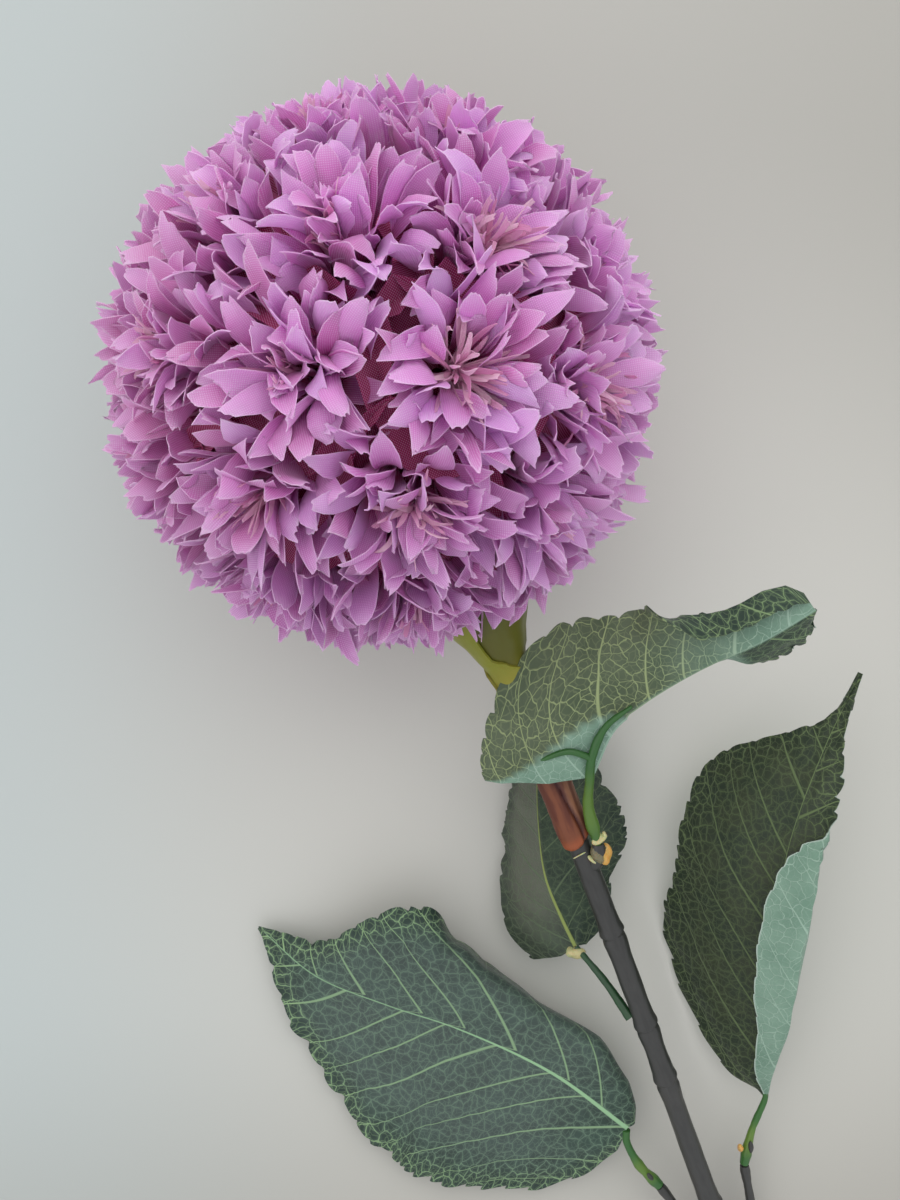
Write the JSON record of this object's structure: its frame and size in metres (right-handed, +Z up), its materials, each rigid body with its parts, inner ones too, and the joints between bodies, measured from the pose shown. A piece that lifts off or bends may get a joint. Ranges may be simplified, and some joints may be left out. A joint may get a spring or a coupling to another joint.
{
  "type": "artificial allium flower stem",
  "caption": "Artificial allium stem laid on its side: a mauve ball of 41 fabric florets on a green calyx, with a wired brown stem and four serrated fabric leaves.",
  "frame": {"origin": "on the table, under the centre of the flower ball, where its pressed underside rests", "axes": "+Z up from the table, -Y from the ball along the stem to its cut end"},
  "size_m": [0.1931, 0.3716, 0.138],
  "materials": {
    "petal_fabric": "satin",
    "core_plastic": "satin",
    "calyx_plastic": "satin",
    "sheath_plastic": "satin",
    "stem_plastic": "satin",
    "steel_wire": "satin",
    "leaf_fabric": "matte",
    "stalk_plastic": "satin",
    "hot_glue": "gloss"
  },
  "bodies": {
    "root": {"floret_01": "petal_fabric", "floret_02": "petal_fabric", "floret_03": "petal_fabric", "floret_04": "petal_fabric", "floret_05": "petal_fabric", "floret_06": "petal_fabric", "floret_07": "petal_fabric", "floret_08": "petal_fabric", "floret_09": "petal_fabric", "floret_10": "petal_fabric", "floret_11": "petal_fabric", "floret_12": "petal_fabric", "floret_13": "petal_fabric", "floret_14": "petal_fabric", "floret_15": "petal_fabric", "floret_16": "petal_fabric", "floret_17": "petal_fabric", "floret_18": "petal_fabric", "floret_19": "petal_fabric", "floret_20": "petal_fabric", "floret_21": "petal_fabric", "floret_22": "petal_fabric", "floret_23": "petal_fabric", "floret_24": "petal_fabric", "floret_25": "petal_fabric", "floret_26": "petal_fabric", "floret_27": "petal_fabric", "floret_28": "petal_fabric", "floret_29": "petal_fabric", "floret_30": "petal_fabric", "floret_31": "petal_fabric", "floret_32": "petal_fabric", "floret_33": "petal_fabric", "floret_34": "petal_fabric", "floret_35": "petal_fabric", "floret_36": "petal_fabric", "floret_37": "petal_fabric", "floret_38": "petal_fabric", "floret_39": "petal_fabric", "floret_40": "petal_fabric", "floret_41": "petal_fabric", "core_ball": "core_plastic", "calyx": "calyx_plastic", "stem_wire": "steel_wire", "stem_sleeve": "stem_plastic", "neck_sheath": "sheath_plastic", "leaf_1": "leaf_fabric", "leaf_2": "leaf_fabric", "leaf_3": "leaf_fabric", "leaf_4": "leaf_fabric", "stalk_1": "stalk_plastic", "stalk_2": "stalk_plastic", "stalk_3": "stalk_plastic", "stalk_4": "stalk_plastic", "glue_bead_1": "hot_glue", "glue_bead_2": "hot_glue", "glue_bead_4": "hot_glue", "twig_3": "stem_plastic", "twig_4": "stem_plastic"}
  },
  "joints": []
}
